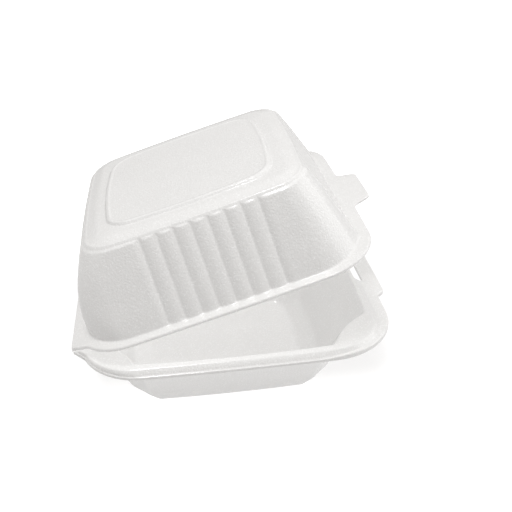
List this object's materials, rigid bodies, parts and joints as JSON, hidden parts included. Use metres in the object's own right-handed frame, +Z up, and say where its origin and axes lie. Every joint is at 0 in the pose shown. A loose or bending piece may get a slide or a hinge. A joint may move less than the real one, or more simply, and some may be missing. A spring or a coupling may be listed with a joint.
{
  "type": "foam clamshell container",
  "caption": "Square take-away food box of white foam sheet: a deep bowl-shaped base and a ribbed lid that turns on a folded line, with a front tab and slot to shut it.",
  "frame": {"origin": "centre of the base's flat underside", "axes": "+Z up, -Y towards the front edge with the lock tab, +Y towards the folded line, X from side to side"},
  "size_m": [0.1398, 0.1394, 0.1108],
  "materials": {
    "foam": "white foam sheet with a satin skin"
  },
  "bodies": {
    "base": {"base": "foam"},
    "lid": {"lid": "foam"}
  },
  "joints": [
    {"name": "lid_hinge", "type": "hinge", "parent": "base", "child": "lid", "pos_m": [0, 0.0655, 0.0435], "axis": [-1, 0, 0], "range_deg": [-16.5, 163.5]}
  ]
}
